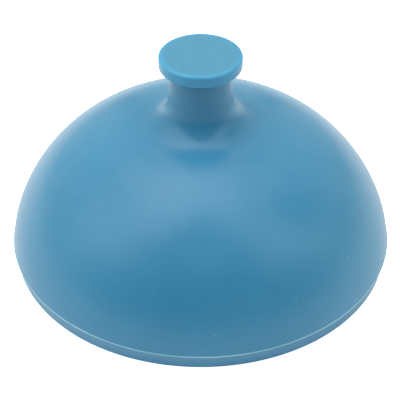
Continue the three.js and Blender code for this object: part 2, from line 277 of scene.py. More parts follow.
clear = paper.nodes.new("ShaderNodeBsdfTransparent")
side = paper.nodes.new("ShaderNodeNewGeometry")
either = paper.nodes.new("ShaderNodeMixShader")
paper.links.new(side.outputs["Backfacing"], either.inputs["Fac"])
paper.links.new(floor_shader.outputs["BSDF"], either.inputs[1])
paper.links.new(clear.outputs["BSDF"], either.inputs[2])
paper.links.new(either.outputs["Shader"], paper.nodes["Material Output"].inputs["Surface"])
floor_mesh.materials.append(floor_paint)
print("paper glow", GLOW_ON_OBJECT, "on the object,", GLOW_ON_LENS, "on the lens")

# %% [markdown]
# ## Shared effects
#
# Several finishes share the same small effects, so each effect is a node group
# that is built once. A group here takes the Object coordinates of the piece and
# gives back a mask or a height between 0 and 1; the shader itself stays in each
# material. The helpers below keep the wiring short.

# %% Helpers for node groups
NOISE = "ShaderNodeTexNoise"
RAMP = "ShaderNodeMapRange"


def new_group(name, inputs, outputs):
    """A shader node group with float inputs, a Vector first, and float outputs."""
    group = bpy.data.node_groups.new(name, "ShaderNodeTree")
    group.interface.new_socket("Vector", in_out="INPUT", socket_type="NodeSocketVector")
    for title, value in inputs.items():
        socket = group.interface.new_socket(title, in_out="INPUT", socket_type="NodeSocketFloat")
        socket.default_value = value
    for title in outputs:
        group.interface.new_socket(title, in_out="OUTPUT", socket_type="NodeSocketFloat")
    return group, group.nodes.new("NodeGroupInput"), group.nodes.new("NodeGroupOutput")


def add_node(tree, kind, **settings):
    """A node with its properties set, and the values of its named inputs."""
    node = tree.nodes.new(kind)
    for title, value in settings.pop("values", {}).items():
        node.inputs[title].default_value = value
    for title, value in settings.items():
        setattr(node, title, value)
    return node


def noise(tree, vector, scale, detail=2.0, roughness=0.5):
    """The height of a noise texture of about 1 / scale metres."""
    node = add_node(tree, NOISE, values={"Detail": detail, "Roughness": roughness})
    tree.links.new(vector, node.inputs["Vector"])
    if isinstance(scale, (int, float)):
        node.inputs["Scale"].default_value = scale
    else:
        tree.links.new(scale, node.inputs["Scale"])
    return node.outputs["Fac"]


def remap(tree, value, low, high, to_low=0.0, to_high=1.0):
    """A value range stretched to another, clamped at both ends."""
    node = add_node(tree, RAMP, clamp=True)
    tree.links.new(value, node.inputs["Value"])
    node.inputs["From Min"].default_value = low
    if isinstance(high, (int, float)):
        node.inputs["From Max"].default_value = high
    else:
        tree.links.new(high, node.inputs["From Max"])
    node.inputs["To Min"].default_value = to_low
    node.inputs["To Max"].default_value = to_high
    return node.outputs["Result"]


def combine(tree, operation, first, second):
    """A Math node of two sockets, or of a socket and a number."""
    node = add_node(tree, "ShaderNodeMath", operation=operation)
    for slot_number, value in enumerate((first, second)):
        if isinstance(value, (int, float)):
            node.inputs[slot_number].default_value = value
        else:
            tree.links.new(value, node.inputs[slot_number])
    return node.outputs[0]


print("group helpers ready")

# %% [markdown]
# ### Mottle
#
# No moulding is one even colour. Wide, weak patches of noise stand for the
# pigment's drift and for bloom, and a finer noise breaks them up.

# %% The mottle group
mottle, mottle_in, mottle_out = new_group("mottle", {"Patch Scale": 60.0}, ["Mask"])
wide = noise(mottle, mottle_in.outputs["Vector"], mottle_in.outputs["Patch Scale"], 3.0, 0.55)
fine_scale = combine(mottle, "MULTIPLY", mottle_in.outputs["Patch Scale"], 9.0)
fine = noise(mottle, mottle_in.outputs["Vector"], fine_scale, 2.0)
blended = combine(
    mottle,
    "ADD",
    combine(mottle, "MULTIPLY", wide, 0.75),
    combine(mottle, "MULTIPLY", fine, 0.25),
)
mottle.links.new(remap(mottle, blended, 0.35, 0.65), mottle_out.inputs["Mask"])
print("mottle:", len(mottle.nodes), "nodes")

# %% [markdown]
# ### Dust
#
# Silicone is faintly sticky, and pale lint clings to it. A Voronoi texture has
# one point in each cell: near a point the distance is small, so a threshold
# makes a speck there. Each cell also has its own random colour, and only the
# cells whose colour is high enough keep their speck, which leaves the specks
# scattered and of different sizes. Fed with coordinates that are squeezed along
# Z, the same group draws short upright fibres of lint.

# %% The dust group
dust, dust_in, dust_out = new_group(
    "dust", {"Cells": 420.0, "Speck Size": 0.075, "Share": 0.16}, ["Mask"]
)
cells = add_node(dust, "ShaderNodeTexVoronoi", values={"Randomness": 1.0})
dust.links.new(dust_in.outputs["Vector"], cells.inputs["Vector"])
dust.links.new(dust_in.outputs["Cells"], cells.inputs["Scale"])
split = dust.nodes.new("ShaderNodeSeparateColor")
dust.links.new(cells.outputs["Color"], split.inputs["Color"])
kept = combine(dust, "LESS_THAN", split.outputs["Red"], dust_in.outputs["Share"])
own_size = combine(
    dust,
    "MULTIPLY",
    dust_in.outputs["Speck Size"],
    remap(dust, split.outputs["Green"], 0.0, 1.0, 0.45, 1.0),
)
near = combine(dust, "LESS_THAN", cells.outputs["Distance"], own_size)
dust.links.new(combine(dust, "MULTIPLY", near, kept), dust_out.inputs["Mask"])
print("dust:", len(dust.nodes), "nodes")

# %% [markdown]
# ### Grain
#
# A mould is blasted before use, and its fine tooth comes out on every moulding
# as a grain a few hundredths of a millimetre deep. Two noises of different
# scale are enough: one for the tooth, one for the slow swell of a soft wall.

# %% The grain group
grain, grain_in, grain_out = new_group(
    "grain", {"Tooth Scale": 4200.0, "Swell Scale": 130.0, "Swell": 0.35}, ["Height"]
)
tooth = noise(grain, grain_in.outputs["Vector"], grain_in.outputs["Tooth Scale"], 3.0, 0.6)
swell = noise(grain, grain_in.outputs["Vector"], grain_in.outputs["Swell Scale"], 2.0)
height = combine(
    grain, "ADD", tooth, combine(grain, "MULTIPLY", swell, grain_in.outputs["Swell"])
)
grain.links.new(height, grain_out.inputs["Height"])
print("grain:", len(grain.nodes), "nodes")

# %% [markdown]
# ## Finishes
#
# One recipe serves every moulded piece: a base colour that drifts between two
# tints with the mottle, a few specks of dust on top, a roughness that follows
# the same patches, and the grain as a bump. Values that are the same all over,
# such as the index of refraction or the depth of subsurface light, are
# set straight on the shader.

# %% The recipe for a moulded finish
DUST_COLOUR = (0.52, 0.62, 0.70, 1.0)


def place_group(tree, group, coordinates, **values):
    """A group's node in a material, fed with the coordinates."""
    node = tree.nodes.new("ShaderNodeGroup")
    node.node_tree = group
    tree.links.new(coordinates, node.inputs["Vector"])
    for title, value in values.items():
        node.inputs[title.replace("_", " ")].default_value = value
    return node


def mix_colour(tree, mask, first, second):
    """Two colours mixed by a mask. Either may be a colour or a socket."""
    node = add_node(tree, "ShaderNodeMix", data_type="RGBA")
    tree.links.new(mask, node.inputs["Factor"])
    for title, value in (("A", first), ("B", second)):
        socket = [s for s in node.inputs if s.name == title and s.type == "RGBA"][0]
        if isinstance(value, tuple):
            socket.default_value = value
        else:
            tree.links.new(value, socket)
    return [s for s in node.outputs if s.type == "RGBA"][0]


def moulded(
    name, deep, pale, roughness, patch=60.0, specks=0.1, tooth=4200.0, bump=0.1, swell=0.35
):
    """A moulded finish. deep and pale are its two tints, roughness its range."""
    material = bpy.data.materials.new(name)
    material.use_nodes = True
    tree = material.node_tree
    shader = tree.nodes["Principled BSDF"]
    where = tree.nodes.new("ShaderNodeTexCoord").outputs["Object"]
    patches = place_group(tree, mottle, where, Patch_Scale=patch).outputs["Mask"]
    colour = mix_colour(tree, patches, deep, pale)
    lint = place_group(tree, dust, where, Share=specks).outputs["Mask"]
    colour = mix_colour(tree, combine(tree, "MULTIPLY", lint, 0.55), colour, DUST_COLOUR)
    drawn_out = add_node(tree, "ShaderNodeMapping", values={"Scale": (1.0, 1.0, 0.22)})
    tree.links.new(where, drawn_out.inputs["Vector"])
    fibres = place_group(
        tree, dust, drawn_out.outputs["Vector"], Share=specks, Speck_Size=0.045
    ).outputs["Mask"]
    colour = mix_colour(tree, combine(tree, "MULTIPLY", fibres, 0.35), colour, DUST_COLOUR)
    tree.links.new(colour, shader.inputs["Base Color"])
    sheen_range = remap(tree, patches, 0.0, 1.0, roughness[0], roughness[1])
    tree.links.new(sheen_range, shader.inputs["Roughness"])
    relief = place_group(tree, grain, where, Tooth_Scale=tooth, Swell=swell)
    bump_node = add_node(
        tree, "ShaderNodeBump", values={"Strength": bump, "Distance": 0.00004}
    )
    tree.links.new(relief.outputs["Height"], bump_node.inputs["Height"])
    tree.links.new(bump_node.outputs["Normal"], shader.inputs["Normal"])
    return material


print("moulded finish ready")

# %% [markdown]
# ### The blue of the bulb and of the knob
#
# The bulb is coloured silicone. Light goes a little way into it and comes out
# again nearby, which lifts the colour on thin edges, so it has a short
# subsurface radius, longest for blue. Fine dust makes a grey veil where the
# surface is seen at a low angle, which is what the shader calls sheen. The flash
# at the mould's parting line is so thin that it looks pale. The knob is the same
# blue, harder and a touch paler.

# %% Blue silicone
PARTING_HEIGHT = 3.0
FLASH_COLOUR = (0.33, 0.60, 0.70, 1.0)

blue_silicone = moulded(
    "blue_silicone",
    deep=(0.043, 0.249, 0.430, 1.0),
    pale=(0.051, 0.274, 0.460, 1.0),
    roughness=(0.28, 0.33),
    patch=45.0,
    specks=0.05,
    bump=0.12,
)
blue_shader = blue_silicone.node_tree.nodes["Principled BSDF"]
blue_shader.inputs["IOR"].default_value = 1.45
blue_shader.inputs["Sheen Weight"].default_value = 0.06
blue_shader.inputs["Sheen Roughness"].default_value = 0.4
blue_shader.inputs["Sheen Tint"].default_value = (1.0, 0.96, 0.92, 1.0)
blue_shader.inputs["Subsurface Weight"].default_value = 0.35
blue_shader.inputs["Subsurface Radius"].default_value = (0.3, 0.8, 1.0)
blue_shader.inputs["Subsurface Scale"].default_value = 0.0015

flash_tree = blue_silicone.node_tree
where = flash_tree.nodes.new("ShaderNodeTexCoord").outputs["Object"]
axes = flash_tree.nodes.new("ShaderNodeSeparateXYZ")
flash_tree.links.new(where, axes.inputs["Vector"])
from_line = combine(
    flash_tree,
    "ABSOLUTE",
    combine(flash_tree, "SUBTRACT", axes.outputs["Z"], PARTING_HEIGHT * MM),
    0.0,
)
on_line = remap(flash_tree, from_line, 0.10 * MM, 0.20 * MM, 1.0, 0.0)
strong = remap(flash_tree, noise(flash_tree, where, 55.0), 0.40, 0.60, 0.7, 1.0)
flash_mask = combine(flash_tree, "MULTIPLY", on_line, strong)
base_socket = blue_shader.inputs["Base Color"]
body_colour = base_socket.links[0].from_socket
flash_tree.links.new(mix_colour(flash_tree, flash_mask, body_colour, FLASH_COLOUR), base_socket)
print("flash line at %.1f mm" % PARTING_HEIGHT)

# %% Blue plastic
blue_plastic = moulded(
    "blue_plastic",
    deep=(0.056, 0.322, 0.518, 1.0),
    pale=(0.066, 0.350, 0.550, 1.0),
    roughness=(0.30, 0.36),
    patch=110.0,
    specks=0.02,
    bump=0.15,
)
knob_shader = blue_plastic.node_tree.nodes["Principled BSDF"]
knob_shader.inputs["IOR"].default_value = 1.45
knob_shader.inputs["Subsurface Weight"].default_value = 0.8
knob_shader.inputs["Subsurface Radius"].default_value = (0.3, 0.8, 1.0)
knob_shader.inputs["Subsurface Scale"].default_value = 0.002
print("blue plastic ready")

# %% [markdown]
# The flat top of the knob is painted a greyer blue, as painted shade, so that its
# rim and its side read as a brighter band of light. The shaded area is a soft-edged
# circle on top of the disc: it is found by the distance from the axis and by the
# height, both taken from Object coordinates, and it swaps the knob's blue for a greyer one.

# %% The painted shade on the knob's flat
# Painted shade: a greyer blue for the flat top, so the rim reads as a brighter band.
FLAT_SHADE_BLUE = (0.068, 0.294, 0.458, 1.0)
FLAT_SHADE_RADIUS = DISC_RADIUS - 0.6
FLAT_SHADE_EDGE = 0.5

knob_tree = blue_plastic.node_tree
where = knob_tree.nodes.new("ShaderNodeTexCoord").outputs["Object"]
axes = knob_tree.nodes.new("ShaderNodeSeparateXYZ")
knob_tree.links.new(where, axes.inputs["Vector"])
flat_place = add_node(knob_tree, "ShaderNodeMapping", values={"Scale": (1.0, 1.0, 0.0)})
knob_tree.links.new(where, flat_place.inputs["Vector"])
across = add_node(knob_tree, "ShaderNodeVectorMath", operation="LENGTH")
knob_tree.links.new(flat_place.outputs["Vector"], across.inputs[0])
inside = remap(
    knob_tree,
    across.outputs["Value"],
    (FLAT_SHADE_RADIUS - FLAT_SHADE_EDGE) * MM,
    FLAT_SHADE_RADIUS * MM,
    1.0,
    0.0,
)
on_top = remap(
    knob_tree, axes.outputs["Z"], (TOTAL_HEIGHT - 0.4) * MM, (TOTAL_HEIGHT - 0.2) * MM
)
# The mask of the painted shade: a soft circle on the flat top, broken up by the mottle.
painted_shade = combine(knob_tree, "MULTIPLY", inside, on_top)
patches = place_group(knob_tree, mottle, where, Patch_Scale=110.0).outputs["Mask"]
painted_shade = combine(knob_tree, "MULTIPLY", painted_shade, remap(knob_tree, patches, 0.0, 1.0, 0.82, 1.0))
knob_socket = knob_shader.inputs["Base Color"]
knob_blue = knob_socket.links[0].from_socket
# The painted shade swaps the knob's blue for the greyer one on the flat.
knob_tree.links.new(mix_colour(knob_tree, painted_shade, knob_blue, FLAT_SHADE_BLUE), knob_socket)
print("worn flat %.1f mm across" % (2 * FLAT_SHADE_RADIUS))

# %% [markdown]
# ### The finishes of the valve unit
#
# The hidden pieces are ordinary lab mouldings: white and grey polypropylene
# with a satin grain, natural silicone that lets some light through, and flaps
# of silicone coloured with red iron oxide, which is matt.

# %% Polypropylene and the small silicones
white_plastic = moulded(
    "white_plastic", (0.74, 0.76, 0.76, 1.0), (0.82, 0.83, 0.82, 1.0), (0.36, 0.46), 150.0, 0.0
)
grey_plastic = moulded(
    "grey_plastic", (0.39, 0.43, 0.45, 1.0), (0.45, 0.49, 0.51, 1.0), (0.34, 0.44), 150.0, 0.0
)
clear_silicone = moulded(
    "clear_silicone", (0.62, 0.66, 0.66, 1.0), (0.71, 0.74, 0.73, 1.0), (0.32, 0.40), 120.0, 0.05
)
clear_shader = clear_silicone.node_tree.nodes["Principled BSDF"]
clear_shader.inputs["Subsurface Weight"].default_value = 0.6
clear_shader.inputs["Subsurface Radius"].default_value = (1.0, 1.0, 0.9)
clear_shader.inputs["Subsurface Scale"].default_value = 0.002
red_silicone = moulded(
    "red_silicone", (0.40, 0.065, 0.032, 1.0), (0.50, 0.095, 0.048, 1.0), (0.5, 0.62), 200.0, 0.06
)
print("polypropylene and silicones ready")

# %% [markdown]
# ### Steel wire and filter membrane
#
# Drawn wire is smooth metal whose die lines run along it; at this size they
# read as a slight change of roughness. The membrane is a felt of white fibres:
# a noise stretched along X and one along Y, added, look like crossing fibres.

# %% Drawn steel
wire_steel = bpy.data.materials.new("drawn_steel")
wire_steel.use_nodes = True
tree = wire_steel.node_tree
steel_shader = tree.nodes["Principled BSDF"]
steel_shader.inputs["Metallic"].default_value = 1.0
where = tree.nodes.new("ShaderNodeTexCoord").outputs["Object"]
lines = noise(tree, where, 5200.0, 2.0)
tree.links.new(remap(tree, lines, 0.3, 0.7, 0.18, 0.34), steel_shader.inputs["Roughness"])
steel_tint = mix_colour(tree, lines, (0.55, 0.56, 0.58, 1.0), (0.68, 0.68, 0.69, 1.0))
tree.links.new(steel_tint, steel_shader.inputs["Base Color"])
steel_bump = add_node(tree, "ShaderNodeBump", values={"Strength": 0.1, "Distance": 0.00001})
tree.links.new(lines, steel_bump.inputs["Height"])
tree.links.new(steel_bump.outputs["Normal"], steel_shader.inputs["Normal"])
print("steel ready")

# %% Filter membrane
membrane_felt = bpy.data.materials.new("membrane_felt")
membrane_felt.use_nodes = True
tree = membrane_felt.node_tree
felt_shader = tree.nodes["Principled BSDF"]
where = tree.nodes.new("ShaderNodeTexCoord").outputs["Object"]
fibres = []
for stretch in ((400.0, 4000.0, 400.0), (4000.0, 400.0, 400.0)):
    mapping = add_node(tree, "ShaderNodeMapping", values={"Scale": stretch})
    tree.links.new(where, mapping.inputs["Vector"])
    fibres.append(noise(tree, mapping.outputs["Vector"], 1.0, 3.0))
felt_height = combine(tree, "ADD", fibres[0], fibres[1])
felt_mask = remap(tree, felt_height, 0.8, 1.2)
felt_tint = mix_colour(tree, felt_mask, (0.80, 0.80, 0.76, 1.0), (0.93, 0.93, 0.91, 1.0))
tree.links.new(felt_tint, felt_shader.inputs["Base Color"])
tree.links.new(remap(tree, felt_height, 0.8, 1.2, 0.8, 0.95), felt_shader.inputs["Roughness"])
felt_bump = add_node(tree, "ShaderNodeBump", values={"Strength": 0.4, "Distance": 0.00004})
tree.links.new(felt_height, felt_bump.inputs["Height"])
tree.links.new(felt_bump.outputs["Normal"], felt_shader.inputs["Normal"])
print("membrane ready")

# %% [markdown]
# ## Lathe work
#
# Nearly every piece is turned: its outline, drawn in the XZ plane, is spun
# round Z. `bmesh.ops.spin` with `use_merge` closes the full turn by itself. A
# closed outline makes a ring; an open one that starts and ends on the axis
# makes a solid knob, once the doubled points on the axis are merged. Normals are
# recalculated last, because a spin may turn the skin inside out.

# %% Helpers for turned pieces
def arc(centre, radius, start, end, steps):
    """Points on an arc of an outline, from one angle to another in degrees."""
    points = []
    for i in range(steps + 1):
        angle = math.radians(start + (end - start) * i / steps)
        points.append(
            (centre[0] + radius * math.cos(angle), centre[1] + radius * math.sin(angle))
        )
    return points


def spin_outline(outline, ring, steps):
    """A bmesh of an outline in millimetres, spun a full turn round Z."""
    shape = bmesh.new()
    corners = [shape.verts.new((radius * MM, 0.0, height * MM)) for radius, height in outline]
    pairs = list(zip(corners, corners[1:]))
    if ring:
        pairs.append((corners[-1], corners[0]))
    edges = [shape.edges.new(pair) for pair in pairs]
    bmesh.ops.spin(
        shape,
        geom=corners + edges,
        cent=(0.0, 0.0, 0.0),
        axis=(0.0, 0.0, 1.0),
        angle=2 * math.pi,
        steps=steps,
        use_merge=True,
        use_duplicate=False,
    )
    bmesh.ops.remove_doubles(shape, verts=shape.verts, dist=1e-7)
    return shape


def soften(shape, width, segments=2, angle=35.0):
    """Rounds every edge that is sharper than an angle in degrees."""
    sharp = [
        edge
        for edge in shape.edges
        if len(edge.link_faces) == 2 and edge.calc_face_angle() > math.radians(angle)
    ]
    bmesh.ops.bevel(
        shape,
        geom=sharp,
        affect="EDGES",
        offset=width * MM,
        offset_type="OFFSET",
        segments=segments,
        profile=0.5,
        clamp_overlap=True,
        material=-1,
    )


def finish_piece(name, shape, material, node, body):
    """Makes an object of a bmesh, which stands for a node and rides on a body."""
    bmesh.ops.recalc_face_normals(shape, faces=shape.faces)
    mesh = bpy.data.meshes.new(name)
    shape.to_mesh(mesh)
    shape.free()
    mesh.shade_smooth()
    mesh.set_sharp_from_angle(angle=math.radians(38.0))
    mesh.materials.append(material)
    piece = bpy.data.objects.new(name, mesh)
    scene.collection.objects.link(piece)
    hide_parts(node)
    if body:
        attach(piece, body)
    print(name, "-", len(mesh.polygons), "faces")
    return piece


print("lathe ready")

# %% [markdown]
# ## The bulb
#
# The dome isn't a ball: its shoulders are a little fuller than an ellipse and
# its flanks straighter. A superellipse with two powers gives that. From the
# crown a fillet runs up into the neck, and near the foot the two halves of the
# mould left a thin line of flash. The wall is drawn too, with the groove that
# grips the base plate, because the bulb is hollow and open underneath.

# %% Values of the dome
BULB_RADIUS = 36.0
BULB_CROWN = 28.8
BULB_WALL = 2.4
RISE_POWER = 1.585
SPREAD_POWER = 2.58
FLASH_REACH = 0.15
FOOT_RADIUS = 35.6
FOOT_BORE = 32.0
NECK_TOP_RADIUS = 5.4
NECK_BASE_RADIUS = 5.9
NECK_FLARE = 5.2
DISC_THICKNESS = 2.1
STEM_BORE = 1.5
SEAT_GAP = 0.1
NECK_ROUNDING = 0.4
FOOT_ROUNDING = 0.4
PLATE_TOP = 5.2
CROWN_OPENING = 3.4
LIP_ABOVE_PLATE = 2.4


def dome_point(radius, crown, share):
    """A point of the dome's outline, from the parting line, 0, to the crown, 1."""
    rise = math.sin(share * math.pi / 2)
    spread = (1 - rise**RISE_POWER) ** (1 / SPREAD_POWER)
    return (radius * spread, PARTING_HEIGHT + (crown - PARTING_HEIGHT) * rise)


def dome_arc(radius, crown, end_radius, steps):
    """The dome's outline from the parting line in to a given radius."""
    near, far = 0.0, 1.0
    for _ in range(40):
        middle = (near + far) / 2
        if dome_point(radius, crown, middle)[0] > end_radius:
            near = middle
        else:
            far = middle
    return [dome_point(radius, crown, near * i / steps) for i in range(steps + 1)]


print("inner crown %.1f mm" % (BULB_CROWN - BULB_WALL))

# %% [markdown]
# The fillet is a short quadratic curve: it leaves the dome along the dome's own
# slope and arrives along the neck, so neither end shows a crease.

# %% The neck's fillet
def neck_fillet(outer, steps):
    """Points from the end of the dome's outline up into the neck."""
    (x0, z0), (x1, z1) = outer[-2:]
    slope = (z1 - z0) / (x1 - x0)
    corner_z = z1 + slope * (NECK_BASE_RADIUS - x1)
    length = math.hypot(x1 - NECK_BASE_RADIUS, z1 - corner_z)
    end_z = corner_z + length
    points = []
    for i in range(1, steps + 1):
        t = i / steps
        x = (1 - t) ** 2 * x1 + (1 - (1 - t) ** 2) * NECK_BASE_RADIUS
        z = (1 - t) ** 2 * z1 + 2 * t * (1 - t) * corner_z + t * t * end_z
        points.append((x, z))
    return points


print("neck %.1f mm across at its foot" % (2 * NECK_BASE_RADIUS))

# %% [markdown]
# The whole section of the wall is one closed outline: the foot, the flash line,
# the dome and the neck on the outside, then the crown and the groove for the
# plate on the inside.

# %% Spin the bulb
disc_bottom = TOTAL_HEIGHT - DISC_THICKNESS
neck_top = disc_bottom - SEAT_GAP
plate_low = low_z("base_plate")
inner_crown = BULB_CROWN - BULB_WALL
dome_outer = dome_arc(BULB_RADIUS, BULB_CROWN, NECK_BASE_RADIUS + NECK_FLARE, 64)
dome_inner = dome_arc(BULB_RADIUS - BULB_WALL, inner_crown, CROWN_OPENING, 40)
dome_inner = [p for p in dome_inner if p[1] > PLATE_TOP + LIP_ABOVE_PLATE]
groove = reach("base_plate") + 0.2
bulb_outline = (
    [(FOOT_BORE, 0.0)]
    + arc((FOOT_RADIUS - FOOT_ROUNDING, FOOT_ROUNDING), FOOT_ROUNDING, -90, 0, 5)
    + [
        (BULB_RADIUS, PARTING_HEIGHT - FLASH_REACH),
        (BULB_RADIUS + FLASH_REACH, PARTING_HEIGHT),
        (BULB_RADIUS, PARTING_HEIGHT + FLASH_REACH),
    ]
    + dome_outer[1:]
    + neck_fillet(dome_outer, 14)
    + arc((NECK_TOP_RADIUS - NECK_ROUNDING, neck_top - NECK_ROUNDING), NECK_ROUNDING, 0, 90, 6)
    + [(STEM_BORE, neck_top), (STEM_BORE, inner_crown)]
    + dome_inner[::-1]
    + [
        (FOOT_BORE, PLATE_TOP + 1.2),
        (FOOT_BORE, PLATE_TOP + 0.5),
        (groove, PLATE_TOP + SEAT_GAP),
        (groove, plate_low - SEAT_GAP),
        (FOOT_BORE, plate_low - SEAT_GAP),
    ]
)
bulb_shape = spin_outline(bulb_outline, ring=True, steps=224)
bulb = finish_piece("bulb", bulb_shape, blue_silicone, "dome_bulb", None)
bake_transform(bulb)

# %% [markdown]
# ## The knob
#
# A flat disc that the thumb presses, moulded in one with a stem. Its lower edge
# is crisp, where the two halves of its mould met, its upper edge is lightly
# rounded, and its top is dished by a hair. The stem runs down through the neck
# and ends in a barb that springs out under the crown, so the knob can't be
# pulled out.

# %% Spin the knob
DISC_ROUNDING = 0.4
DISC_UNDER_EDGE = 0.1
DISH_RADIUS = DISC_RADIUS - 2.5
DISH_DEPTH = 0.05
STEM_RADIUS = 1.4
BARB_RADIUS = 3.0
BARB_BELOW_CROWN = 0.4
BARB_EDGE = 0.3

tip = low_z("knob_pin")
barb_top = inner_crown - BARB_BELOW_CROWN
rim = (DISC_RADIUS - DISC_ROUNDING, TOTAL_HEIGHT - DISC_ROUNDING)
under_edge = (DISC_RADIUS - DISC_UNDER_EDGE, disc_bottom + DISC_UNDER_EDGE)
knob_outline = (
    [(0.0, tip), (STEM_RADIUS - 0.4, tip), (STEM_RADIUS, tip + 0.4)]
    + [(BARB_RADIUS, barb_top - BARB_EDGE), (BARB_RADIUS, barb_top)]
    + [(STEM_RADIUS, barb_top), (STEM_RADIUS, disc_bottom)]
    + arc(under_edge, DISC_UNDER_EDGE, -90, 0, 3)
    + arc(rim, DISC_ROUNDING, 0, 90, 12)
    + [(DISH_RADIUS, TOTAL_HEIGHT - 0.6 * DISH_DEPTH), (0.0, TOTAL_HEIGHT - DISH_DEPTH)]
)
knob_shape = spin_outline(knob_outline, ring=False, steps=160)
knob = finish_piece("knob", knob_shape, blue_plastic, "knob_pin", "knob")

# %% [markdown]
# ## The base plate
#
# The plate closes the bulb. It has a tall housing in the middle, with two
# L-shaped tracks inside it for the collar's lugs, and a ring of small ports at
# the back under the exhaust valve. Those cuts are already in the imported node,
# so a copy of its mesh is merged and its edges are rounded, where the packed
# one has dead-sharp corners. The loose node itself stays as it is.

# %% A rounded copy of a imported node
def rounded_copy(name, node, material, body, width):
    """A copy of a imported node, merged, with its flat parts joined and its edges rounded."""
    shape = bmesh.new()
    shape.from_mesh(nodes[node].data)
    bmesh.ops.remove_doubles(shape, verts=shape.verts, dist=2e-6)
    bmesh.ops.dissolve_limit(
        shape,
        angle_limit=math.radians(0.5),
        verts=shape.verts,
        edges=shape.edges,
        use_dissolve_boundaries=False,
        delimit=set(),
    )
    soften(shape, width, segments=2, angle=40.0)
    return finish_piece(name, shape, material, node, body)


plate = rounded_copy("plate", "base_plate", white_plastic, "base", 0.12)

# %% [markdown]
# ## The valve unit
#
# Above the housing sits the valve body: a deck with eight inlet holes, a boss
# for the spring, and a skirt that reaches down into the housing. A flat red
# gasket seals it to the housing. A loose red flap covers the holes, and a ring
# over the flap stops it from floating away.

# %% Valve body, gasket, cage and flap
valve = rounded_copy("valve", "valve_body", grey_plastic, "base", 0.1)


def turned_ring(name, node, body, outline, material, width, steps=128):
    """A turned ring with rounded edges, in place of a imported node."""
    shape = spin_outline(outline, ring=True, steps=steps)
    soften(shape, width)
    return finish_piece(name, shape, material, node, body)


def box_ring(node, inner):
    """The outline of a flat ring as tall and as wide as a node."""
    outer, low, high = reach(node), low_z(node), high_z(node)
    return [(inner, low), (outer, low), (outer, high), (inner, high)]


GASKET_BORE = 8.3
FLAP_BORE = 3.0
gasket = turned_ring(
    "gasket",
    "valve_gasket",
    "base",
    box_ring("valve_gasket", GASKET_BORE),
    red_silicone,
    0.12,
)
flap = turned_ring(
    "flap",
    "inlet_flap",
    "inlet",
    box_ring("inlet_flap", FLAP_BORE),
    red_silicone,
    0.12,
)

# %% The cage over the flap
cage_low, cage_high, cage_out = low_z("flap_cage"), high_z("flap_cage"), reach("flap_cage")
pocket = reach("inlet_flap") + 0.2
lip_low, lip_bore = cage_high - 0.6, reach("inlet_flap") - 0.9
cage_outline = [(pocket, cage_low), (cage_out, cage_low), (cage_out, cage_high - 0.3)]
cage_outline += [(cage_out - 0.3, cage_high), (lip_bore, cage_high)]
cage_outline += [(lip_bore, lip_low), (pocket, lip_low)]
cage = turned_ring(
    "cage", "flap_cage", "base", cage_outline, white_plastic, 0.1
)

# %% [markdown]
# ## The filter
#
# Liquid must never reach the valves. A white membrane in a snap-in ring stops
# it, just above the pipette's end.

# %% Filter ring and membrane
filter_low, filter_high, filter_out = (
    low_z("filter_frame"),
    high_z("filter_frame"),
    reach("filter_frame"),
)
membrane_out = reach("filter_membrane")
ledge = filter_low + 0.5
filter_outline = [(membrane_out - 0.6, filter_low), (filter_out, filter_low)]
filter_outline += [(filter_out, filter_high), (membrane_out + 0.2, filter_high)]
filter_outline += [(membrane_out + 0.2, ledge), (membrane_out - 0.6, ledge)]
filter_ring = turned_ring(
    "filter_ring", "filter_frame", "base", filter_outline, white_plastic, 0.08
)

membrane_low, membrane_high = low_z("filter_membrane"), high_z("filter_membrane")
membrane_outline = [(0.0, membrane_low), (membrane_out, membrane_low)]
membrane_outline += [(membrane_out, membrane_high), (0.0, membrane_high)]
membrane_shape = spin_outline(membrane_outline, ring=False, steps=96)
soften(membrane_shape, 0.06)
membrane = finish_piece(
    "membrane", membrane_shape, membrane_felt, "filter_membrane", "base"
)

# %% [markdown]
# ## The release valve
#
# Pressing the knob pushes a small poppet down off its seat, and air leaks back
# in. The poppet is a grey mushroom with a red ring for a seal; a white cap is
# pressed on its stem, and a steel spring under the cap closes it again.

# %% Poppet, seal and cap
POPPET_STEM = 1.2
POPPET_HEAD_THICKNESS = 1.0
SEAL_WIRE = 0.6

head_low, head_out = low_z("release_poppet"), reach("release_poppet")
head_high = head_low + POPPET_HEAD_THICKNESS
stem_high = high_z("release_poppet")
poppet_outline = [(0.0, head_low), (head_out - 0.3, head_low), (head_out, head_low + 0.3)]
poppet_outline += [(head_out, head_high), (POPPET_STEM, head_high)]
poppet_outline += [(POPPET_STEM, stem_high - 0.3), (POPPET_STEM - 0.3, stem_high), (0.0, stem_high)]
poppet_shape = spin_outline(poppet_outline, ring=False, steps=96)
soften(poppet_shape, 0.08)
poppet = finish_piece(
    "poppet", poppet_shape, grey_plastic, "release_poppet", "poppet"
)

seal_middle = (low_z("poppet_seal") + high_z("poppet_seal")) / 2
seal_shape = spin_outline(
    arc((reach("poppet_seal") - SEAL_WIRE, seal_middle), SEAL_WIRE, 0, 337.5, 15), True, 96
)
seal = finish_piece("seal", seal_shape, red_silicone, "poppet_seal", "poppet")

cap_low, cap_high, cap_out = low_z("poppet_cap"), high_z("poppet_cap"), reach("poppet_cap")
cap_bore = POPPET_STEM + SEAT_GAP
cap_outline = [(0.0, cap_high - 0.3), (cap_bore, cap_high - 0.3), (cap_bore, cap_low)]
cap_outline += [(cap_out, cap_low), (cap_out, cap_high - 0.4), (cap_out - 0.4, cap_high)]
cap_outline += [(0.0, cap_high)]
cap_shape = spin_outline(cap_outline, ring=False, steps=96)
soften(cap_shape, 0.08)
cap = finish_piece("cap", cap_shape, white_plastic, "poppet_cap", "poppet")

# %% [markdown]
# ## The spring
#
# A coil is a circle that is spun while it climbs: `spin` takes a step upwards
# with each step round. When the poppet opens, the coil is pressed together.

